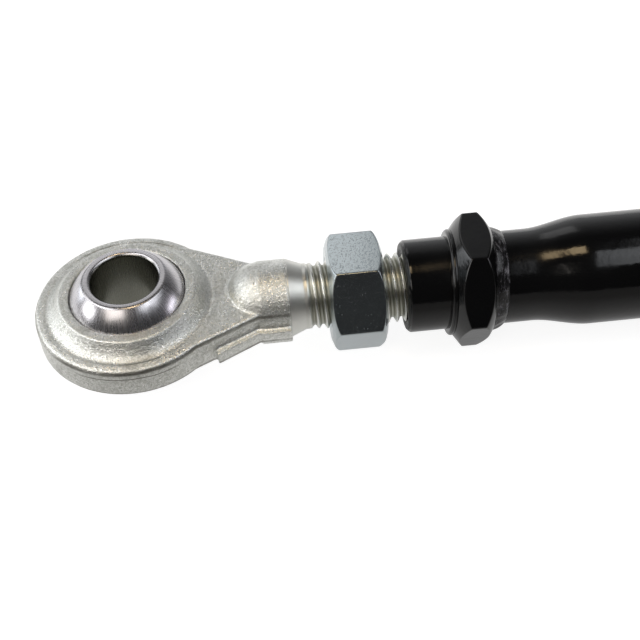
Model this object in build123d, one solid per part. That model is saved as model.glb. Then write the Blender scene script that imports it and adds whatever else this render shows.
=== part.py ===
from build123d import *
import os
from math import acos, atan2, cos, radians, sin, sqrt, tan

os.makedirs("parts", exist_ok=True)

# Millimetres. X runs along the link from the near eye to the far one, Z along the pin bores.
# The origin is the centre of the near ball, and the far end mirrors the near one.
centre_distance = 460.0

# Screw thread of the rods, right-hand at the near end and left-hand at the far one.
# Rod, nut and tube end are plain here, at the crest of the thread.
thread_diameter = 24.0
thread_clearance = 0.05
thread_countersink = 1.0

# Ball that takes the hitch pin
ball_diameter = 44.0
ball_width = 34.0
pin_bore = 22.6
bore_edge_chamfer = 0.8

# Ring of the forged eye around the ball. Heights are from the middle plane.
socket_clearance = 0.05
socket_mouth_gap = 0.35
ring_radius = 23.1
ring_height = 10.8
ring_slope = 65.0
groove_radius = 28.4
groove_floor = 5.9
groove_foot_radius = 1.6
band_height = 6.2
disc_radius = 32.1
disc_wall_height = 4.5
disc_edge_width = 0.9

# Flat arms from the ring to the neck
arm_height = 6.0
arm_tangent_radius = 31.0
arm_draft = 5.0
arm_end = 46.0
arm_end_half_width = 11.8
arm_edge_fillet = 1.2

# The lower die stands off to one side past the trimmed edge of the disc, with wider arms there.
die_shift = 2.0
trim_edge = 28.5
lower_arm_tangent_radius = 32.0

# Round neck and threaded shank, as distances from the centre of the ball
neck_radius = 13.6
neck_cone_start = 33.0
neck_cone_height = 5.9
neck_start = 44.0
neck_end = 54.2
shoulder_end = 59.2
shank_end = 155.0
shank_end_chamfer = 2.0

# Lock nut. Its hexagon stands turned a little, as in the photo.
nut_turn = -2.5
nut_across_flats = 36.0
nut_height = 19.0
nut_gap = 7.0
nut_chamfer_angle = 30.0
nut_face_radius = 15.9

# Tube: its two ends are swaged down and threaded inside
tube_end = 93.5
tube_radius = 19.0
tube_wall = 4.0
tube_end_chamfer = 1.2
swaged_radius = 16.0
swage_length = 20.0
tube_thread_length = 36.0

# Hexagon collar round each end of the tube, turned a little too, and the weld that holds it
collar_turn = -2.3
collar_middle = 116.8
collar_across_flats = 41.0
collar_corner_length = 4.9
collar_flat_length = 10.4
collar_foot_length = 15.8
collar_clearance = 0.05
weld_length = 3.2
weld_height = 2.3
weld_bulge = 0.4
neck_past_weld = 9.1

ball_radius = ball_diameter / 2
thread_radius = thread_diameter / 2
thread_bore_radius = thread_radius + thread_clearance
nut_end = tube_end - nut_gap
swaged_end = collar_middle + collar_foot_length / 2 + weld_length + neck_past_weld


def revolved(points, axis):
    """A solid of revolution from a closed outline of straight runs."""
    return revolve(Plane.XZ * make_face(Polyline(*points, close=True)), axis)


def revolved_outline(edges, axis):
    """A solid of revolution from a closed outline of lines and curves."""
    return revolve(Plane.XZ * make_face(Curve() + edges), axis)


def ball():
    """A steel ball cut flat on two sides and bored through."""
    half = ball_width / 2
    rim = sqrt(ball_radius**2 - half**2)
    bore = pin_bore / 2
    sphere = ThreePointArc((rim, -half), (ball_radius, 0), (rim, half))
    inside = Polyline(
        (rim, half),
        (bore + bore_edge_chamfer, half),
        (bore, half - bore_edge_chamfer),
        (bore, -half + bore_edge_chamfer),
        (bore + bore_edge_chamfer, -half),
        (rim, -half),
    )
    return revolved_outline([sphere, inside], Axis.Z)


def eye_round():
    """The round of the eye above the parting plane, with the ring still as wide as its groove."""
    outline = [
        (0, 0),
        (0, ring_height),
        (groove_radius, ring_height),
        (groove_radius, band_height),
        (disc_radius - disc_edge_width, (band_height + disc_wall_height + disc_edge_width) / 2),
        (disc_radius, disc_wall_height),
        (disc_radius, 0),
    ]
    return revolved(outline, Axis.Z)


def groove():
    """What is pressed down around the ring: its steep flank, a rounded foot and a flat groove."""
    slope = radians(ring_slope)
    foot = ring_radius + (ring_height - groove_floor) / tan(slope)
    height = 2 * (ring_height - groove_floor)
    floor = (foot + groove_foot_radius, groove_floor)
    flank = (foot - groove_foot_radius * cos(slope), groove_floor + groove_foot_radius * sin(slope))
    outline = [
        Polyline(
            floor,
            (groove_radius, groove_floor),
            (groove_radius + height, groove_floor + height),
            (foot - height / tan(slope), groove_floor + height),
            flank,
        ),
        Bezier(flank, (foot, groove_floor), floor),
    ]
    return revolved_outline(outline, Axis.Z)


def arms(tangent_radius):
    """Flat arms that leave the disc at a tangent and run to the neck, with forging draft."""
    reach = sqrt(arm_end**2 + arm_end_half_width**2)
    tangent = atan2(arm_end_half_width, arm_end) + acos(tangent_radius / reach)
    at_disc = (tangent_radius * cos(tangent), tangent_radius * sin(tangent))
    plan = Polyline(
        (at_disc[0], -at_disc[1]),
        (arm_end, -arm_end_half_width),
        (arm_end, arm_end_half_width),
        at_disc,
        close=True,
    )
    block = extrude(make_face(plan), arm_height, taper=arm_draft)
    rim = block.edges().group_by(Axis.Z)[-1].sort_by(Axis.X)[:-1]
    return fillet(rim, arm_edge_fillet)


def neck_half():
    """Round neck above the parting plane, with a cone that runs out on the arms."""
    outline = Polyline(
        (neck_cone_start, 0),
        (neck_cone_start, neck_cone_height),
        (neck_start, neck_radius),
        (neck_end, neck_radius),
        (neck_end, 0),
        close=True,
    )
    return revolve(make_face(outline), Axis.X, 180)


def shank():
    """Turned shoulder and the shank that carries the thread."""
    return revolved(
        [
            (neck_end, 0),
            (neck_end, neck_radius),
            (shoulder_end, thread_radius),
            (shank_end - shank_end_chamfer, thread_radius),
            (shank_end, thread_radius - shank_end_chamfer),
            (shank_end, 0),
        ],
        Axis.X,
    )


def half_eye(arms_from):
    """What one die forms, with arms that leave the disc from that radius."""
    return eye_round() + arms(arms_from) + neck_half() - groove()


def lower_half():
    """What the lower die forms: past the trimmed edge of the disc it is wider and stands off to one side."""
    round_part = mirror(half_eye(arm_tangent_radius), Plane.XY)
    arm_part = mirror(half_eye(lower_arm_tangent_radius), Plane.XY)
    size = 2 * disc_radius
    past_trim = Pos(trim_edge + size / 2, 0, 0) * Box(size, size, size)
    return (round_part - past_trim) + Pos(0, -die_shift, 0) * (arm_part & past_trim)


def eye_forging():
    """Eye, arms, neck and shank in one forging, with the spherical socket of the ball."""
    socket = ball_radius + socket_clearance
    mouth = sqrt(socket**2 - ring_height**2) + socket_mouth_gap
    solid = half_eye(arm_tangent_radius) + lower_half() + shank()
    return solid - Sphere(socket) - Cylinder(mouth, 2 * ring_height)


def hexagon_bar(across_flats, turn, start, end):
    """A hexagon along X, turned by that angle from flats that face up and down."""
    outline = RegularPolygon(across_flats / 2, 6, major_radius=False, rotation=turn)
    return Pos(start, 0, 0) * extrude(Plane.YZ * outline, end - start)


def thread_bore(start, end):
    """A thread bore along X with a countersink at both mouths."""
    outline = [
        (start, 0),
        (start, thread_bore_radius + thread_countersink),
        (start + thread_countersink, thread_bore_radius),
        (end - thread_countersink, thread_bore_radius),
        (end, thread_bore_radius + thread_countersink),
        (end, 0),
    ]
    return revolved(outline, Axis.X)


def lock_nut():
    """Hexagon nut with turned corners and a countersunk thread bore."""
    start = nut_end - nut_height
    middle = (start + nut_end) / 2
    rise = nut_height / 2 / tan(radians(nut_chamfer_angle))
    turned = [
        (start, 0),
        (start, nut_face_radius),
        (middle, nut_face_radius + rise),
        (nut_end, nut_face_radius),
        (nut_end, 0),
    ]
    solid = hexagon_bar(nut_across_flats, nut_turn, start, nut_end) & revolved(turned, Axis.X)
    return solid - thread_bore(start, nut_end)


def hex_collar():
    """Hexagon ring for the spanner, turned to a barrel so that only the middle of each flat is left."""
    corner_radius = collar_across_flats / sqrt(3)

    def flank(side):
        return ThreePointArc(
            (collar_middle + side * collar_foot_length / 2, swaged_radius),
            (collar_middle + side * collar_flat_length / 2, collar_across_flats / 2),
            (collar_middle + side * collar_corner_length / 2, corner_radius),
        )

    left = collar_middle - collar_corner_length / 2
    right = collar_middle + collar_corner_length / 2
    foot_left = collar_middle - collar_foot_length / 2
    foot_right = collar_middle + collar_foot_length / 2
    barrel = revolved_outline(
        [
            flank(-1),
            Line((left, corner_radius), (right, corner_radius)),
            flank(1),
            Polyline((foot_right, swaged_radius), (foot_right, 0), (foot_left, 0), (foot_left, swaged_radius)),
        ],
        Axis.X,
    )
    solid = hexagon_bar(collar_across_flats, collar_turn, foot_left, foot_right) & barrel
    bore = Rot(0, 90, 0) * Cylinder(swaged_radius + collar_clearance, 2 * collar_foot_length)
    return solid - Pos(collar_middle, 0, 0) * bore


def weld_bead():
    """Weld all round in the corner between the back of the collar and the tube."""
    foot = collar_middle + collar_foot_length / 2
    end = foot + weld_length
    start = foot - weld_height
    root = swaged_radius + collar_clearance
    crown = (start, swaged_radius + weld_height)
    outline = [
        Polyline((end, swaged_radius), (foot, swaged_radius), (foot, root), (start, root), crown),
        SagittaArc(crown, (end, swaged_radius), weld_bulge),
    ]
    ring = revolved_outline(outline, Axis.X) - hex_collar()
    return ring.solids().sort_by(Axis.X)[-1]


def tube_half():
    """Half of the tube: threaded end, swaged neck, smooth S up to the full round."""
    full = swaged_end + swage_length
    middle = centre_distance / 2
    thread_end = tube_end + tube_thread_length
    bore = tube_radius - tube_wall
    outer = [
        Polyline(
            (tube_end, swaged_radius - tube_end_chamfer),
            (tube_end + tube_end_chamfer, swaged_radius),
            (swaged_end, swaged_radius),
        ),
        Spline((swaged_end, swaged_radius), (full, tube_radius), tangents=[(1, 0), (1, 0)]),
        Polyline((full, tube_radius), (middle, tube_radius), (middle, bore), (full, bore)),
    ]
    inner = [
        Spline((full, bore), (thread_end, thread_bore_radius), tangents=[(-1, 0), (-1, 0)]),
        Polyline(
            (thread_end, thread_bore_radius),
            (tube_end + thread_countersink, thread_bore_radius),
            (tube_end, thread_bore_radius + thread_countersink),
            (tube_end, swaged_radius - tube_end_chamfer),
        ),
    ]
    return revolved_outline(outer + inner, Axis.X)


def far_side(solid):
    """The same piece at the other end of the link."""
    return mirror(solid, Plane.YZ.offset(centre_distance / 2))


def tube():
    """One tube from end to end."""
    return tube_half() + far_side(tube_half())


end_pieces = {
    "eye_forging": eye_forging,
    "ball": ball,
    "lock_nut": lock_nut,
    "hex_collar": hex_collar,
    "weld_bead": weld_bead,
}

export_step(tube(), "parts/tube.step")
for name, make in end_pieces.items():
    piece = make()
    export_step(piece, f"parts/near_{name}.step")
    export_step(far_side(piece), f"parts/far_{name}.step")
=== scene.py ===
import bmesh
import bpy
import numpy as np
from mathutils import Matrix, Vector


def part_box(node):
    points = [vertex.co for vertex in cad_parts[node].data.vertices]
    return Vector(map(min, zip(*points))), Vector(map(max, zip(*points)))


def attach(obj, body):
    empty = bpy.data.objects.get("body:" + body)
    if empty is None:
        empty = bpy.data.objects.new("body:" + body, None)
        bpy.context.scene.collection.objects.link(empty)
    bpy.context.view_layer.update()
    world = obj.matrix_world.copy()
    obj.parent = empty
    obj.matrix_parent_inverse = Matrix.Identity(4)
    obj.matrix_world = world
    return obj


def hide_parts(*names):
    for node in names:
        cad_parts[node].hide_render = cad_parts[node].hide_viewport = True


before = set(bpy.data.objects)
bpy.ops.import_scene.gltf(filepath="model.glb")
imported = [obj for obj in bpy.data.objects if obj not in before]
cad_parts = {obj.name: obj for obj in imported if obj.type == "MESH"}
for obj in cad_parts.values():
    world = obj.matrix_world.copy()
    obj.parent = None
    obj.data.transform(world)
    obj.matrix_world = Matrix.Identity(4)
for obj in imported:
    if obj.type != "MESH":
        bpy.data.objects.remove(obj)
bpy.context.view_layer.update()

# All lengths are metres in the CAD's frame: X along the link, Z along the pin bores.
pin_to_pin = 0.46


# The tube. Steel tube, swaged down and threaded inside at both ends, then painted gloss black with
# the collars already welded on. The paint is rubbed off round its two mouths.
tube_end = 0.0935
tube_radius = 0.019
tube_bore = 0.015
neck_radius = 0.016
neck_stop = 0.137
full_start = 0.157
thread_bore = 0.01205
thread_bore_stop = 0.1295
mouth_chamfer = 0.0012
bore_chamfer = 0.001


def run(corners, radius, steps=5, points=12):
    """An open outline through the corners, each inner one rounded off by the radius, which is one
    value for all of them or one for each. A rounded corner is (1-t)^2 a + 2t(1-t) c + t^2 b, with a and
    b set back on its two sides by the radius. The points on the sides between are spaced as
    (1 - cos(pi u)) / 2, so they crowd at the corners."""
    corners = np.array(corners, float)
    setback = np.zeros(len(corners))
    setback[1:-1] = radius
    side = np.diff(corners, axis=0)
    length = np.linalg.norm(side, axis=1, keepdims=True)
    side = side / length
    leave = corners[:-1] + side * setback[:-1, None]
    arrive = corners[1:] - side * setback[1:, None]
    u = (1 - np.cos(np.pi * np.arange(points) / points)) / 2
    sides = leave[:, None] + (arrive - leave)[:, None] * u[None, :, None]
    t = (np.arange(steps) / steps)[None, :, None]
    before = arrive[:-1, None]
    after = leave[1:, None]
    arcs = (1 - t) ** 2 * before + 2 * t * (1 - t) * corners[1:-1, None] + t**2 * after
    joined = np.concatenate([sides[:-1], arcs], axis=1).reshape(-1, 2)
    return np.concatenate([joined, sides[-1], corners[-1:]])


def ease(u):
    """A smooth step from 0 to 1: 3u^2 - 2u^3, held flat outside."""
    u = np.clip(u, 0, 1)
    return u * u * (3 - 2 * u)


def full_turn(count):
    """That many angles evenly round a circle, from 0."""
    return np.arange(count) * 2 * np.pi / count


def about_x(x, radius, angle):
    """The points (x, r cos a, r sin a) round the X axis."""
    return np.stack([x + 0 * radius * angle, radius * np.cos(angle), radius * np.sin(angle)], axis=-1)


def quads_of(index):
    """The corners of every face of a grid of point numbers, four to a row."""
    corners = [index[:-1, :-1], index[:-1, 1:], index[1:, 1:], index[1:, :-1]]
    return np.stack(corners, axis=-1).reshape(-1, 4)


def skin(name, grid):
    """A closed mesh over rows of points: each row is a closed ring, and the last row joins the first."""
    rows, columns = grid.shape[:2]
    index = np.arange(rows * columns).reshape(rows, columns)
    index = np.hstack([index, index[:, :1]])
    index = np.vstack([index, index[:1]])
    return solid(name, grid.reshape(-1, 3), quads_of(index))


def solid(name, points, quads):
    """A mesh object whose faces look outwards: the sign of its volume, the sum of a . (b x c) over
    its faces, says whether they have to be turned."""
    mesh = bpy.data.meshes.new(name)
    mesh.from_pydata(points.tolist(), [], quads.tolist())
    a, b, c, d = (points - points.mean(axis=0))[quads].transpose(1, 0, 2)
    if (a * (np.cross(b, c) + np.cross(c, d))).sum() < 0:
        mesh.flip_normals()
    mesh.polygons.foreach_set("use_smooth", np.ones(len(mesh.polygons), bool))
    mesh.update()
    piece = bpy.data.objects.new(name, mesh)
    bpy.context.scene.collection.objects.link(piece)
    return piece


def stands_for(piece, node, body, material):
    """The piece takes its material, rides on its body and is shown in the node's place."""
    piece.data.materials.append(material)
    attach(piece, body)
    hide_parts(node)


# The outputs of the Texture Coordinate node and of the Mix node that the finishes use.
own_coordinates = 3
mixed_colour = 2


class Shade:
    """A socket of a finish. Used in sums and products it adds the Math nodes they need."""

    def __init__(self, tree, socket=None):
        self.tree = tree
        self.socket = socket

    def add(self, kind, settings, inputs, output=0):
        """A new node: its settings first, then a value or a link for each socket named."""
        node = self.tree.nodes.new("ShaderNode" + kind)
        for name, value in settings.items():
            setattr(node, name, value)
        for name, value in inputs.items():
            if isinstance(value, Shade):
                self.tree.links.new(value.socket, node.inputs[name])
            else:
                node.inputs[name].default_value = value
        return Shade(self.tree, node.outputs[output] if node.outputs else None)

    def calc(self, operation, *terms):
        """The result of one Math node."""
        return self.add("Math", {"operation": operation}, dict(enumerate(terms)))

    def __add__(self, other):
        return self.calc("ADD", self, other)

    def __sub__(self, other):
        return self.calc("SUBTRACT", self, other)

    def __rsub__(self, other):
        return self.calc("SUBTRACT", other, self)

    def __mul__(self, other):
        return self.calc("MULTIPLY", self, other)

    def __truediv__(self, other):
        return self.calc("DIVIDE", self, other)

    def __pow__(self, other):
        return self.calc("POWER", self, other)

    __radd__ = __add__
    __rmul__ = __mul__

    def between(self, low, high):
        """0 below low, 1 above high, and smooth between them."""
        limits = {"Value": self, "From Min": low, "From Max": high}
        return self.add("MapRange", {"interpolation_type": "SMOOTHSTEP"}, limits)

    def tint(self, first, second):
        """The first colour where this is 0 and the second where it is 1."""
        return self.add("Mix", {"data_type": "RGBA"}, {0: self, 6: first, 7: second}, mixed_colour)

    def noise(self, scale, detail=2.0, roughness=0.5, stretch=None):
        """Cloudy noise of that many cells to a metre, on the object's own coordinates."""
        place = self.add("TexCoord", {}, {}, own_coordinates)
        if stretch:
            place = self.add("Mapping", {}, {"Vector": place, "Scale": stretch})
        inputs = {"Vector": place, "Scale": scale, "Detail": detail, "Roughness": roughness}
        return self.add("TexNoise", {}, inputs)

    def place(self, centre=(0, 0, 0)):
        """The object's own coordinates from that centre, as three numbers."""
        point = self.add("TexCoord", {}, {}, own_coordinates)
        shifted = self.add("VectorMath", {"operation": "SUBTRACT"}, {0: point, 1: centre})
        return [self.add("SeparateXYZ", {}, {0: shifted}, i) for i in range(3)]

    def relief(self, height, distance, under=None):
        """A bump of that height field, on top of another one."""
        inputs = {"Height": height, "Distance": distance}
        if under:
            inputs["Normal"] = under
        return self.add("Bump", {}, inputs)


def finish(name, recipe):
    """A material: the recipe is given an empty Shade and returns its Principled sockets."""
    made = bpy.data.materials.new(name)
    made.use_nodes = True
    made.node_tree.nodes.clear()
    start = Shade(made.node_tree)
    surface = start.add("BsdfPrincipled", {}, recipe(start))
    start.add("OutputMaterial", {}, {"Surface": surface})
    return made


def gloss_black(start):
    """Thick gloss paint with a faint orange peel."""
    peel = start.noise(420, 2)
    smear = start.noise(60, 4)
    return {
        "Base Color": (0.003, 0.003, 0.0033, 1),
        "Roughness": 0.1 + smear.between(0.35, 0.75) * 0.1,
        "Normal": start.relief(peel, 0.00004),
    }


def tube_paint(start):
    """The same paint, rubbed through to grey steel round the two mouths."""
    made = gloss_black(start)
    x = start.place((pin_to_pin / 2, 0, 0))[0]
    mouth = pin_to_pin / 2 - tube_end
    from_mouth = mouth - start.calc("ABSOLUTE", x)
    scuff = start.noise(700, 4) * 0.0012
    bare = 1 - (from_mouth + scuff).between(0.0009, 0.0015)
    grain = start.noise(2600, 3)
    made["Base Color"] = bare.tint(made["Base Color"], (0.05, 0.05, 0.048, 1))
    made["Metallic"] = bare * 0.6
    made["Roughness"] = made["Roughness"] + bare * 0.3
    made["Normal"] = start.relief(grain * bare, 0.00012, made["Normal"])
    return made


def swage(x_from, x_to, r_from, r_to):
    """The curve of a swage between two places and two radii: r follows the smooth step in x."""
    u = np.linspace(0, 1, 25)[1:-1]
    return np.stack([x_from + (x_to - x_from) * u, r_from + (r_to - r_from) * ease(u)], 1)


swage_outside = swage(full_start, neck_stop, tube_radius, neck_radius)
swage_inside = swage(thread_bore_stop, full_start, thread_bore, tube_bore)
mouth_corners = [
    (neck_stop, neck_radius),
    (tube_end + mouth_chamfer, neck_radius),
    (tube_end, neck_radius - mouth_chamfer),
    (tube_end, thread_bore + bore_chamfer),
    (tube_end + bore_chamfer, thread_bore),
    (thread_bore_stop, thread_bore),
]
near_half = np.concatenate(
    [
        run([(pin_to_pin / 2, tube_radius), (full_start, tube_radius)], 0, points=24),
        swage_outside,
        run(mouth_corners, 0.0003),
        swage_inside,
        run([(full_start, tube_bore), (pin_to_pin / 2, tube_bore)], 0),
    ]
)
far_half = np.stack([pin_to_pin - near_half[-2:0:-1, 0], near_half[-2:0:-1, 1]], 1)
whole = np.concatenate([near_half, far_half])
tube = skin("painted_tube", about_x(whole[:, :1], whole[:, 1:], full_turn(128)))
black_on_tube = finish("gloss_black_tube", tube_paint)
stands_for(tube, "tube", "tube_body", black_on_tube)


# The two hexagon collars. Each is turned to a barrel from hexagon bar, with a small rounded foot, pushed
# over the neck of the tube as a grip for the spanner, a little askew, and painted with the tube.
collar_middle = 0.1168
collar_width = 0.041
collar_turn = -2.3
collar_corner = 0.00245
collar_flat = 0.0052
collar_foot = 0.0079
collar_lean = 0.055
foot_front = 0.0085
foot_groove = 0.0066
foot_radius = 0.0184
collar_edge_power = 180


def mirrored(grid):
    """The same shape at the far end: x becomes the pin distance minus x."""
    return grid * (-1, 1, 1) + (pin_to_pin, 0, 0)


def both_ends(grid):
    """The grid for the near end and its mirror image for the far end, each after its name."""
    return ("near", grid), ("far", mirrored(grid))


def mirror_mesh(piece):
    """Moves a finished mesh to the far end and turns its faces to look outwards again."""
    piece.data.transform(Matrix.Diagonal((-1, 1, 1, 1)))
    piece.data.transform(Matrix.Translation((pin_to_pin, 0, 0)))
    piece.data.flip_normals()


def six_sided(outline, width, power, turned_by):
    """An outline carried round X and cut to a hexagon whose flats face up and down, but for a small turn
    in degrees. The radius is (p^-n + h^-n)^(-1/n), p from the outline and h from the hexagon, where h is
    half the width over the sum of the n-th powers of the cosines to its three flat directions, to the
    power 1/n. So every edge is slightly rounded. The angles crowd at the six corners."""
    u = np.arange(40) / 20 - 1
    within = np.sign(u) * (1 - (1 - np.abs(u)) ** 1.8) * np.pi / 6
    angles = (within + np.arange(6)[:, None] * np.pi / 3 + np.pi / 6).ravel()
    flats = np.abs(np.cos(angles[:, None] - np.pi * np.array([1, 3, 5]) / 6))
    hexagon = 1 / (flats**power).sum(axis=1) ** (1 / power)
    ratio = width / 2 / outline[:, 1:]
    radius = outline[:, 1:] * (1 + (hexagon * ratio) ** -power) ** (-1 / power)
    return about_x(outline[:, :1], radius, angles + np.radians(turned_by))


def askew(grid):
    """The grid leaned about the collar's middle: x moves by the lean times a height that runs up and
    back, 0.73 y + 0.68 z."""
    height = 0.73 * grid[..., 1] + 0.68 * grid[..., 2]
    grid[..., 0] += collar_lean * height
    return grid


def through(a, b, c, t):
    """Points on the circle through a, b and c, from a to c."""
    a, b, c = (np.array(p, float) for p in (a, b, c))
    system = 2 * np.array([b - a, c - a])
    centre = np.linalg.solve(system, [b @ b - a @ a, c @ c - a @ a])
    first, last = (np.arctan2(*(p - centre)[::-1]) for p in (a, c))
    sweep = (last - first + np.pi) % (2 * np.pi) - np.pi
    angle = first + sweep * t[:, None]
    reach = np.linalg.norm(a - centre)
    return centre + reach * np.hstack([np.cos(angle), np.sin(angle)])


corner_radius = collar_width / np.sqrt(3)
fine = np.linspace(0, 1, 41)
back_corner = (collar_corner, corner_radius)
back_flank = through(back_corner, (collar_flat, collar_width / 2), (collar_foot, neck_radius), fine)
foot = run(
    [
        (-foot_front, neck_radius),
        (-foot_front + 0.0001, foot_radius - 0.0004),
        (-foot_groove - 0.0004, foot_radius + 0.0001),
        (-foot_groove, foot_radius - 0.0002),
    ],
    0.0008,
    points=6,
)
front_cone = [foot[-1], (-collar_corner - 0.0001, corner_radius), (collar_corner, corner_radius)]
front_flank = run(front_cone, 0.0004, points=40)[1:-1]
hidden = neck_radius - 0.0002
inside = [(collar_foot, neck_radius), (collar_foot, hidden), (-foot_front, hidden), foot[0]]
inside = run(inside, 0.0001)[1:-1]
barrel = np.concatenate([foot, front_flank, back_flank, inside]) + (collar_middle, 0)
black = finish("gloss_black_paint", gloss_black)
collar_grid = askew(six_sided(barrel, collar_width, collar_edge_power, collar_turn))
for end, grid in both_ends(collar_grid):
    collar = skin(end + "_spanner_collar", grid)
    stands_for(collar, end + "_hex_collar", "tube_body", black)


# The two welds. One run of weld round the back of each collar holds it to the tube. The uneven run
# shows through the paint, and its crest is scuffed to silver.
weld_leg = 0.0023
weld_reach = 0.0032
weld_belly = 0.0014
weld_start = collar_middle + collar_foot - weld_leg
weld_stop = collar_middle + collar_foot + weld_reach
crest_wander = 0.0006
toe_wander = 0.0012


def scuffed_weld(start):
    """Gloss paint with bare silvery scuffs on the crest of the run."""
    made = gloss_black(start)
    scuff = start.noise(420, 6, 0.7, (3.0, 1.0, 1.0)).between(0.48, 0.72)
    made["Base Color"] = scuff.tint((0.006, 0.006, 0.0065, 1), (0.2, 0.195, 0.22, 1))
    made["Metallic"] = scuff * 0.5
    made["Roughness"] = made["Roughness"] + 0.08 + scuff * 0.25
    return made


toe = (weld_stop, neck_radius)
leg = (weld_start, neck_radius + weld_leg)
crest_point = ((weld_start + weld_stop) / 2 + 0.0002, neck_radius + weld_belly)
arc = through(leg, crest_point, toe, np.linspace(0, 1, 15))
sunk = neck_radius - 0.0003
below = run([toe, (weld_stop - 0.0002, sunk), (weld_start, sunk), leg], 0.0001, points=4)
section = np.concatenate([arc, below[1:-1]])
turn_fine = full_turn(480)
share = np.clip((section[:, :1] - weld_start) / (weld_stop - weld_start), 0, 1)
# The run's height and its toe wander as a sum of eleven waves round the tube, with drawn phases.
draw = np.random.default_rng(24)
waves = np.arange(3, 25, 2)
phases = draw.uniform(0, 2 * np.pi, (2, len(waves), 1))
wander = np.sin(waves[:, None] * turn_fine + phases).sum(axis=1) / len(waves)
crest = np.where(section[:, 1:] > neck_radius, np.sin(np.pi * share), 0)
bead = section[:, 1:] + crest_wander * crest * wander[0]
weld_x = section[:, :1] + toe_wander * share * crest * wander[1]
weld_grid = askew(about_x(weld_x, bead, turn_fine))
weld_paint = finish("scuffed_black_weld", scuffed_weld)
for end, grid in both_ends(weld_grid):
    weld = skin(end + "_collar_weld", grid)
    stands_for(weld, end + "_weld_bead", "tube_body", weld_paint)


# The two lock nuts. Hexagon nuts M24 of cold drawn steel, chamfered on both faces and zinc plated,
# which jam against the mouth of the tube to hold the length.
nut_gap = 0.007
nut_height = 0.019
nut_stop = tube_end - nut_gap
nut_start = nut_stop - nut_height
nut_width = 0.036
nut_turn = -2.5
nut_edge_power = 130
nut_face = 0.0159
nut_bar = 0.0215


def bright_zinc(start):
    """Clear zinc plate: bluish, with fine pits and faint smears."""
    pits = start.noise(1500, 3, 0.6).between(0.52, 0.72)
    cloud = start.noise(90, 4)
    return {
        "Base Color": cloud.tint((0.45, 0.49, 0.5, 1), (0.55, 0.61, 0.63, 1)),
        "Metallic": 1.0,
        "Roughness": 0.12 + cloud * 0.1 + pits * 0.1,
        "Normal": start.relief(pits, -0.000016),
    }


nut_middle = (nut_start + nut_stop) / 2
bored = [
    (nut_middle, thread_bore),
    (nut_start + bore_chamfer, thread_bore),
    (nut_start, thread_bore + bore_chamfer),
    (nut_start, nut_face),
]
# The chamfer rises 0.36 for each unit of radius, and ever more past the flats, to round their corners.
reach = np.linspace(nut_face, nut_bar, 80)
past_flats = np.maximum(reach - nut_width / 2, 0)
chamfer = np.stack([nut_start + 0.36 * (reach - nut_face) + 90 * past_flats**2, reach], 1)
waist = run([chamfer[-1], (nut_middle, reach[-1])], 0)
half_nut = np.concatenate([run(bored, 0.0003), chamfer[1:], waist[1:]])
other_half = half_nut[-2:0:-1] * (-1, 1) + (nut_start + nut_stop, 0)
nut_grid = six_sided(np.concatenate([half_nut, other_half]), nut_width, nut_edge_power, nut_turn)
zinc = finish("bright_zinc_plate", bright_zinc)
for end, grid in both_ends(nut_grid):
    nut = skin(end + "_lock_nut_m24", grid)
    stands_for(nut, end + "_lock_nut", end + "_nut", zinc)


# The two threaded rods, one piece with the eyes: turned down behind the forged neck and rolled M24x3,
# right-hand at the near end and left-hand at the far one, then plated with the forging.
pitch = 0.003
rod_start = 0.053
shoulder_start = 0.0542
shoulder_stop = 0.0592
shoulder_radius = 0.0134
rod_stop = 0.155
rod_point = 0.002
thread_start = 0.0602
thread_phase = 0.06127
thread_angle = 133
full_depth = 0.0022
full_height = 0.009
blank = 0.01135
crest_radius = 0.012
root_radius = 0.01016


def rod_radius(x, angle):
    """Radius of the rod. The thread is a wave of x / pitch - angle / turn: flat crests of 1/8 pitch,
    roots of 1/4 pitch and straight flanks, which fade into the plain blank at the shoulder. A cone
    leads down from the neck, and another one points the tip."""
    phase = ((x - thread_phase) / pitch - (angle - np.radians(thread_angle)) / (2 * np.pi)) % 1
    height = np.clip((0.8 - np.abs(2 * phase - 1)) / 0.7, 0, 1)
    height = 0.6 * height + 0.4 * ease(height)
    full = ease((x - thread_start) / full_depth)
    top = blank + (crest_radius - blank) * ease((x - thread_start - 0.0003) / full_height)
    root = blank + (root_radius - blank) * full
    thread = root + (top - root) * height
    cone = np.interp(x, [shoulder_start, shoulder_stop], [shoulder_radius, blank])
    tip = rod_stop - x + crest_radius - rod_point
    return np.minimum(np.maximum(thread, np.where(x < thread_start, cone, 0)), tip)


def threaded_rod(name):
    """The rod as a grid along its own helix: s = start + j step + pitch angle / turn, x = s held
    between the ends, so the crests run along grid lines. After a turn, row j meets row j + one pitch."""
    per_turn = 72
    per_pitch = 18
    rows = int(round((rod_stop - rod_start) / pitch * per_pitch)) + per_pitch + 1
    row = np.arange(rows)[:, None]
    column = np.arange(per_turn)
    along = rod_start + (row / per_pitch - 1 + column / per_turn) * pitch
    x = np.clip(along, rod_start, rod_stop)
    angle = full_turn(per_turn) + 0 * x
    points = about_x(x, rod_radius(x, angle), angle).reshape(-1, 3)
    index = np.arange(rows * per_turn).reshape(rows, per_turn)
    whole = np.hstack([index[:-per_pitch], index[per_pitch:, :1]])
    late = index[-per_pitch - 1 :]
    rod = solid(name, points, np.concatenate([quads_of(whole), quads_of(late)]))
    shape = bmesh.new()
    shape.from_mesh(rod.data)
    bmesh.ops.remove_doubles(shape, verts=shape.verts, dist=1e-7)
    bmesh.ops.holes_fill(shape, edges=[e for e in shape.edges if e.is_boundary], sides=0)
    shape.to_mesh(rod.data)
    shape.free()
    return rod


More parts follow.
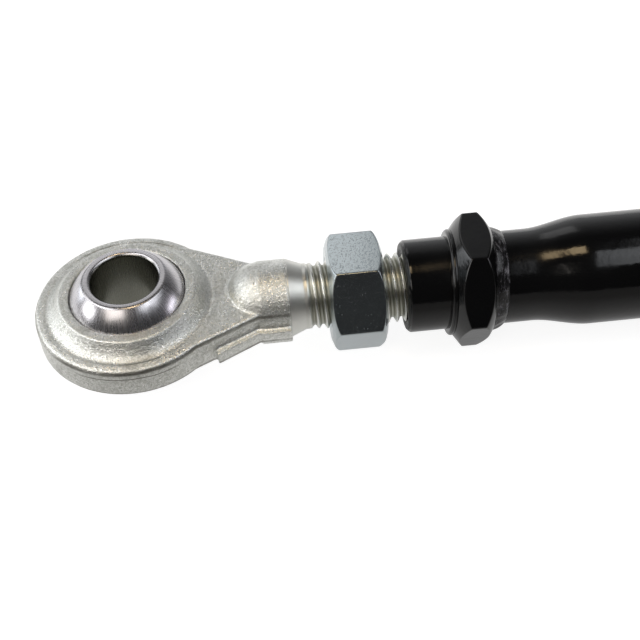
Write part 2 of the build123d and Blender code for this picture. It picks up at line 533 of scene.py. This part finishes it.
def thread_zinc(start):
    """Zinc plate over a rolled thread, with painted shade in the roots: they are dark and olive, so the
    crests stand brighter.
    """
    x, y, z = start.place()
    reach = start.calc("SQRT", y * y + z * z)
    # The roots of the thread are painted dark olive as shade; they are also made a little rougher.
    shaded_roots = 1 - reach.between(0.0104, 0.0116)
    cloud = start.noise(160, 4)
    # The plain shoulder next to the neck is left rougher and greyer than the rolled thread.
    plain = start.calc("ABSOLUTE", x - pin_to_pin / 2).between(0.1694, 0.1702)
    return {
        "Base Color": (shaded_roots * 0.8 + cloud * 0.2).tint((0.84, 0.84, 0.8, 1), (0.4, 0.4, 0.34, 1)),
        "Metallic": 1.0,
        "Roughness": 0.2 + shaded_roots * 0.12 + cloud * 0.1 + plain * 0.14,
        "Normal": start.relief(start.noise(1800, 3), 0.00002),
    }


thread_finish = finish("zinc_on_thread", thread_zinc)
near_rod = threaded_rod("near_threaded_rod")
far_rod = threaded_rod("far_threaded_rod")
mirror_mesh(far_rod)
for end, rod in (("near", near_rod), ("far", far_rod)):
    stands_for(rod, end + "_eye_forging", end + "_eye", thread_finish)


# The two forged eyes. Drop forged in two dies, with the ring, its groove, the drafted arms and the neck;
# shot blasted, machined for the ball and zinc plated, so the grain of the blasting shows through.
net_size = 0.0004
socket = 0.02205
neck_stop_eye = 0.0541
nose_middle = 0.044
nose_length = 0.0114
nose_radius = 0.0133
blast_depth = 0.00004
machined = 0.0006
set_back = 0.0004
smoothed = 12
ring_edge = 0.0231
ring_top = 0.0108
cove_foot = 0.0284
cove_floor = 0.0059


def coved(points):
    """The ring's flank hollowed to a cove: between the ring's edge and the foot, with u the share of the
    way out, the height above the middle plane is floor + (top - floor) (1 - u)^1.7 on both sides."""
    out = np.hypot(points[:, 0], points[:, 1])
    high = np.abs(points[:, 2])
    share = np.clip((out - ring_edge) / (cove_foot - ring_edge), 0, 1)
    height = cove_floor + (ring_top - cove_floor) * (1 - share) ** 1.7
    flank = (high > cove_floor - 0.0004) & (out > ring_edge) & (out < cove_foot)
    points[flank, 2] = (np.sign(points[:, 2]) * height)[flank]
    return points


def rows_of(items, field):
    """A vector field of a mesh's points or normals as an array with one row for each."""
    values = np.empty(len(items) * 3)
    items.foreach_get(field, values)
    return values.reshape(-1, 3)


def applied(piece, kind, **settings):
    """The piece's mesh with one modifier of that kind applied."""
    modifier = piece.modifiers.new(kind.lower(), kind)
    for name, value in settings.items():
        setattr(modifier, name, value)
    bpy.context.view_layer.update()
    seen = piece.evaluated_get(bpy.context.evaluated_depsgraph_get())
    piece.data = bpy.data.meshes.new_from_object(seen)
    piece.modifiers.clear()


def cut_off(shape, place, outwards):
    """What lies outside the plane through that place is cut off, and the cut is left open."""
    everything = list(shape.verts) + list(shape.edges) + list(shape.faces)
    bmesh.ops.bisect_plane(
        shape, geom=everything, plane_co=place, plane_no=outwards, clear_outer=True
    )


def forged_eye(name, node):
    """The CAD's eye without its rod, with the fuller nose of the neck joined on, laid over with an even
    net. The points are pitted along their normals by drawn depths, as shot blasting does, and smoothed,
    which rounds the edges as forging does. The socket is set back to its sphere afterwards."""
    shape = bmesh.new()
    shape.from_mesh(node.data)
    bmesh.ops.remove_doubles(shape, verts=shape.verts, dist=1e-6)
    cut_off(shape, (neck_stop_eye, 0, 0), (1, 0, 0))
    bmesh.ops.holes_fill(shape, edges=[e for e in shape.edges if e.is_boundary], sides=0)
    nose = Matrix.Translation((nose_middle, 0, 0))
    nose = nose @ Matrix.Diagonal((nose_length, nose_radius, nose_radius, 1))
    bmesh.ops.create_icosphere(shape, subdivisions=5, radius=1, matrix=nose)
    bmesh.ops.triangulate(shape, faces=shape.faces)
    mesh = bpy.data.meshes.new(name)
    shape.to_mesh(mesh)
    shape.free()
    eye = bpy.data.objects.new(name, mesh)
    bpy.context.scene.collection.objects.link(eye)
    applied(eye, "REMESH", mode="VOXEL", voxel_size=net_size)
    points = coved(rows_of(eye.data.vertices, "co"))
    depth = np.random.default_rng(36).normal(0, blast_depth, (len(points), 1))
    depth[np.linalg.norm(points, axis=1) < socket + machined] = 0
    points = points + depth * rows_of(eye.data.vertex_normals, "vector")
    eye.data.vertices.foreach_set("co", points.ravel())
    applied(eye, "SMOOTH", factor=0.5, iterations=smoothed)
    # The grain stays inside the CAD's box.
    low, high = (np.array(c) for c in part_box(node.name))
    points = np.clip(rows_of(eye.data.vertices, "co"), low, high)
    reach = np.linalg.norm(points, axis=1)
    inside = reach < socket + set_back
    points[inside] *= (np.maximum(reach[inside], socket) / reach[inside])[:, None]
    eye.data.vertices.foreach_set("co", points.ravel())
    eye.data.polygons.foreach_set("use_smooth", np.ones(len(eye.data.polygons), bool))
    eye.data.update()
    return eye


def blasted_zinc(centre):
    """Zinc over a blasted forging whose ring stands at that centre, with painted shade along the flash
    line, at the foot of the cove and on the disc's edges."""

    def recipe(start):
        x, y, z = start.place(centre)
        reach = start.calc("SQRT", x * x + y * y)
        fine = start.noise(2400, 2, 0.6)
        coarse = start.noise(1250, 3, 0.6)
        cloud = start.noise(110, 5)
        grain = fine * 0.4 + coarse * 0.6
        speck = grain.between(0.36, 0.64)
        # Painted shade as a dark line along the dies' flash line and at the foot of the cove, broken up
        # by the cloud.
        off_line = start.calc("ABSOLUTE", z - 0.0021 - cloud * 0.0006)
        line = (1 - off_line.between(0.0001, 0.0003)) * reach.between(0.0305, 0.0315)
        off_foot = start.calc("ABSOLUTE", reach - 0.0287)
        foot = (1 - off_foot.between(0.0001, 0.0003)) * cloud.between(0.4, 0.6) * 0.7
        on_disc = 1 - start.calc("ABSOLUTE", x).between(0.012, 0.02)
        painted_crease_shade = start.calc("MAXIMUM", line * 0.85, foot) * on_disc
        # The disc's edges get painted shade as well.
        high = start.calc("ABSOLUTE", z)
        rim = high.between(0.0038, 0.0046) * (1 - high.between(0.0051, 0.0057))
        rim = rim * reach.between(0.0304, 0.0312)
        painted_crease_shade = start.calc("MAXIMUM", painted_crease_shade, rim * (cloud.between(0.3, 0.6) * 0.45 + 0.3))
        # Painted shade in the creases and on the edges, together with darker clouds that are the zinc's
        # own uneven tone.
        painted_shade_and_mottle = start.calc("MAXIMUM", painted_crease_shade, cloud.between(0.55, 0.8) * 0.4)
        zinc = speck.tint((0.6, 0.61, 0.56, 1), (1.0, 1.0, 0.97, 1))
        return {
            "Base Color": painted_shade_and_mottle.tint(zinc, (0.16, 0.15, 0.12, 1)),
            "Metallic": 1.0,
            "Roughness": 0.2 + cloud * 0.12 + (1 - speck) * 0.1,
            "Normal": start.relief(grain, 0.00038),
        }

    return recipe


near_eye = forged_eye("near_forged_eye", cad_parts["near_eye_forging"])
far_eye = bpy.data.objects.new("far_forged_eye", near_eye.data.copy())
bpy.context.scene.collection.objects.link(far_eye)
mirror_mesh(far_eye)
pins = {"near": (0, 0, 0), "far": (pin_to_pin, 0, 0)}
for end, eye in (("near", near_eye), ("far", far_eye)):
    blasted = finish(end + "_blasted_zinc", blasted_zinc(pins[end]))
    stands_for(eye, end + "_eye_forging", end + "_eye", blasted)


# The two swivel balls. Hard steel balls with two flats and a bore for the hitch pin, ground and left
# bare; each is held in its eye by the peened rim and swivels there.
ball_radius = 0.022
ball_half = 0.017
pin_bore = 0.0113
pin_chamfer = 0.0008
rim_rounding = 0.0007
bore_rounding = 0.0004
rim_angle = 0.07


def ground_steel(centre):
    """Bare steel, worn in fine streaks from one flat of the ball to the other, with painted shade in the
    bore.
    """

    def recipe(start):
        x, y, z = start.place(centre)
        reach = start.calc("SQRT", x * x + y * y)
        level = start.add("CombineXYZ", {}, {0: x / reach * 26, 1: y / reach * 26, 2: z * 90})
        lines = start.add("TexNoise", {}, {"Vector": level, "Scale": 1.0, "Detail": 4.0})
        # The bore is painted dark olive as shade.
        bore_shade = 1 - reach.between(0.0114, 0.0119)
        cloud = start.noise(120, 4)
        steel = (cloud * 0.6 + lines * 0.4).tint((0.42, 0.41, 0.42, 1), (0.76, 0.74, 0.77, 1))
        return {
            "Base Color": bore_shade.tint(steel, (0.2, 0.2, 0.17, 1)),
            "Metallic": 1.0,
            "Roughness": 0.2 + lines * 0.14,
            "Normal": start.relief(lines, 0.000012),
        }

    return recipe


rim = np.sqrt(ball_radius**2 - ball_half**2)
edge = np.arcsin(ball_half / ball_radius)
meridian = np.linspace(rim_angle - edge, edge - rim_angle, 72)
sphere = ball_radius * np.stack([np.cos(meridian), np.sin(meridian)], 1)
flat_and_bore = run(
    [
        sphere[-1],
        (rim, ball_half),
        (pin_bore + pin_chamfer, ball_half),
        (pin_bore, ball_half - pin_chamfer),
        (pin_bore, -ball_half + pin_chamfer),
        (pin_bore + pin_chamfer, -ball_half),
        (rim, -ball_half),
        sphere[0],
    ],
    (rim_rounding, *4 * [bore_rounding], rim_rounding),
)
ball_outline = np.concatenate([sphere, flat_and_bore[1:-1]])
turn_ball = full_turn(160)
ball_grid = np.stack(
    [
        ball_outline[:, :1] * np.cos(turn_ball),
        ball_outline[:, :1] * np.sin(turn_ball),
        ball_outline[:, 1:] + 0 * turn_ball,
    ],
    -1,
)
for end, grid in both_ends(ball_grid):
    ball = skin(end + "_swivel_ball", grid)
    steel = finish(end + "_ground_steel", ground_steel(pins[end]))
    stands_for(ball, end + "_ball", end + "_swivel", steel)


# The studio: a pale table that the collars lie on, a dim room that brightens behind the link, which the
# camera doesn't see, and soft lamps.
floor_height = -0.02096
table_side = 6.0
table_lift = 0.9
room_radius = 9.0
lamp_target = (0.06, 0, 0)
# The outputs of the Light Path node.
camera_ray = 0
mirror_ray = 3
glass_ray = 6


def staging(name, mesh, recipe):
    """A piece of the studio: the recipe is given an empty Shade and returns its surface."""
    made = bpy.data.materials.new(name)
    made.use_nodes = True
    made.node_tree.nodes.clear()
    start = Shade(made.node_tree)
    start.add("OutputMaterial", {}, {"Surface": recipe(start)})
    mesh.materials.append(made)
    piece = bpy.data.objects.new(name, mesh)
    bpy.context.scene.collection.objects.link(piece)
    return piece


def lit_table(start):
    """Matt grey that takes the shadow, and a glow that the camera, mirrors and glass see."""
    matt = start.add("BsdfDiffuse", {}, {"Color": (0.3, 0.3, 0.3, 1)})
    # Metal mirrors the table brighter below and behind the link than in front of it.
    mirrored_share = 0.04 + start.place()[1].between(-0.1, 0.06) * 0.86
    seen_by = [start.add("LightPath", {}, {}, ray) for ray in (camera_ray, mirror_ray, glass_ray)]
    seen = start.calc("MINIMUM", seen_by[0] + seen_by[1] * mirrored_share + seen_by[2], 1.0)
    glow = start.add("Emission", {}, {"Color": (1, 1, 1, 1), "Strength": seen * table_lift})
    return start.add("AddShader", {}, {0: matt, 1: glow})


def glowing_cloth(start):
    """Dim in front and overhead, and brighter down the back."""
    back_share = start.calc("MAXIMUM", (start.place()[1] / room_radius - 0.35) / 0.65, 0.0)
    strength = 0.035 + back_share**2 * 0.6
    return start.add("Emission", {}, {"Color": (0.97, 0.98, 1.0, 1), "Strength": strength})


table_mesh = bpy.data.meshes.new("pale_table")
corners = np.array([(-1, -1), (1, -1), (1, 1), (-1, 1)]) * table_side
table_mesh.from_pydata([(x, y, floor_height) for x, y in corners.tolist()], [], [(0, 1, 2, 3)])
plane = staging("pale_table", table_mesh, lit_table)

# The room is half a ball of glowing cloth.
shape = bmesh.new()
bmesh.ops.create_icosphere(shape, subdivisions=4, radius=room_radius)
cut_off(shape, (0, 0, floor_height - 0.1), (0, 0, -1))
room_mesh = bpy.data.meshes.new("dim_room")
shape.to_mesh(room_mesh)
shape.free()
room = staging("dim_room", room_mesh, glowing_cloth)
room.visible_camera = False


def stood(right, up, back, place):
    """The matrix that turns X, Y and Z to those three directions and puts the origin at the place."""
    rows = np.stack([right, up, back, place], axis=1).tolist()
    return Matrix(rows + [[0, 0, 0, 1]])


def soft_lamp(name, place, width, height, radiance, colour=(1, 1, 1)):
    """A flat lamp that faces the near neck of the link; its power is radiance x pi x area."""
    lamp = bpy.data.lights.new(name, "AREA")
    lamp.shape = "RECTANGLE"
    lamp.size = width
    lamp.size_y = height
    lamp.energy = radiance * np.pi * width * height
    lamp.color = colour
    box = bpy.data.objects.new(name, lamp)
    bpy.context.scene.collection.objects.link(box)
    back = np.array(place, float) - lamp_target
    back /= np.linalg.norm(back)
    right = np.array((0.0, 1.0, 0.0) if abs(back[0]) > 0.8 else (1.0, 0.0, 0.0))
    right -= (right @ back) * back
    right /= np.linalg.norm(right)
    up = np.cross(back, right)
    box.matrix_world = stood(right, up, back, place)
    box.visible_camera = False


soft_lamp("left_softbox", (-1.2, -0.1, 0.42), 0.5, 0.45, 4.0)
soft_lamp("left_high_softbox", (-0.92, 0.3, 0.85), 0.75, 0.7, 1.6)
soft_lamp("left_rear_softbox", (-1.15, 0.62, 0.26), 0.5, 0.35, 2.5, (0.92, 0.96, 1.0))
soft_lamp("right_softbox", (1.25, 0.0, 0.2), 0.5, 0.16, 3.8, (0.95, 0.92, 1.0))
soft_lamp("right_high_softbox", (0.85, -0.15, 1.0), 0.65, 0.8, 1.4, (0.93, 0.96, 1.0))
soft_lamp("front_right_softbox", (0.68, -0.55, 1.12), 0.42, 0.75, 1.7, (0.93, 0.96, 1.0))
soft_lamp("front_left_softbox", (-0.45, -0.7, 0.85), 0.7, 0.5, 2.2, (1.0, 0.94, 0.87))
soft_lamp("overhead_left_softbox", (-0.65, -0.12, 1.13), 0.55, 0.6, 2.8)
soft_lamp("overhead_softbox", (0.07, -0.08, 1.25), 0.25, 0.34, 5.6, (1.0, 0.76, 0.45))
soft_lamp("rear_softbox", (-0.25, 1.25, 0.93), 1.0, 0.6, 0.72)

# Whatever the room leaves open is plain white.
world = bpy.data.worlds.new("pale_surround")
bpy.context.scene.world = world
world.use_nodes = True
world.node_tree.nodes.clear()
surround = Shade(world.node_tree)
background = surround.add("Background", {}, {"Color": (1.0, 1.0, 1.0, 1), "Strength": 1.0})
surround.add("OutputWorld", {}, {"Surface": background})


# The camera stands where the photograph was taken from. Its place, its lens and its angles in radians
# were fitted to the ring, the nut, the neck and the tube in the photo.
camera_place = (0.0499, -0.2747, 0.2857)
camera_lens = 64.689
camera_sideways = -0.05246
camera_rise = 0.82634
roll = np.radians(-3.382)
level = np.cos(camera_rise)
back = np.array(
    (np.sin(camera_sideways) * level, -np.cos(camera_sideways) * level, np.sin(camera_rise))
)
right = np.cross((0, 0, 1), back)
right /= np.linalg.norm(right)
up = np.cross(back, right)
across = np.cos(roll) * right + np.sin(roll) * up
upward = -np.sin(roll) * right + np.cos(roll) * up
camera = bpy.data.cameras.new("camera")
camera.sensor_width = 36
camera.lens = camera_lens
camera.clip_start = 0.01
viewer = bpy.data.objects.new("camera", camera)
bpy.context.scene.collection.objects.link(viewer)
viewer.matrix_world = stood(across, upward, back, camera_place)
bpy.context.scene.camera = viewer
bpy.context.scene.view_settings.view_transform = "Standard"
